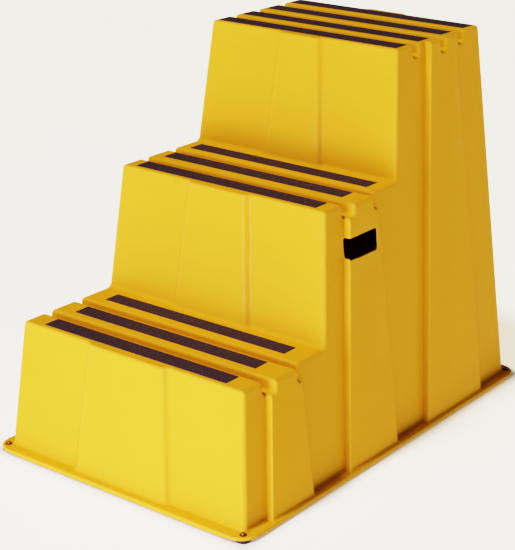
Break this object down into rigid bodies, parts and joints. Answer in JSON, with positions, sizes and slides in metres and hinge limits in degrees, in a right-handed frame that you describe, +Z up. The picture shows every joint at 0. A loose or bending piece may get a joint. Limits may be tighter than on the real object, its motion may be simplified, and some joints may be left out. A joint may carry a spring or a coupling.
{
  "type": "mounting block",
  "caption": "One-piece moulded three-step mounting block with grooved treads, anti-slip strips, side hand holes, a base flange and rubber feet; open underneath so that blocks nest.",
  "frame": {"origin": "on the floor, under the middle of the base flange", "axes": "+Z up; +Y towards the back, the way the steps climb; +X to the right of a person who climbs them"},
  "size_m": [0.594, 0.926, 0.7383],
  "materials": {
    "shell_plastic": "satin gloss, moulded polyethylene",
    "grip_tape": "gritty anti-slip tape",
    "foot_rubber": "matt",
    "washer_metal": "dull, tarnished",
    "rivet_metal": "satin, tarnished"
  },
  "bodies": {
    "root": {"step_shell": "shell_plastic", "lower_grip_strip_1": "grip_tape", "lower_grip_strip_2": "grip_tape", "lower_grip_strip_3": "grip_tape", "middle_grip_strip_1": "grip_tape", "middle_grip_strip_2": "grip_tape", "middle_grip_strip_3": "grip_tape", "top_grip_strip_1": "grip_tape", "top_grip_strip_2": "grip_tape", "top_grip_strip_3": "grip_tape", "top_grip_strip_4": "grip_tape", "foot_front_left": "foot_rubber", "foot_front_right": "foot_rubber", "foot_back_left": "foot_rubber", "foot_back_right": "foot_rubber", "foot_washer_front_left": "washer_metal", "foot_washer_front_right": "washer_metal", "foot_washer_back_left": "washer_metal", "foot_washer_back_right": "washer_metal", "foot_rivet_front_left": "rivet_metal", "foot_rivet_front_right": "rivet_metal", "foot_rivet_back_left": "rivet_metal", "foot_rivet_back_right": "rivet_metal"}
  },
  "joints": []
}
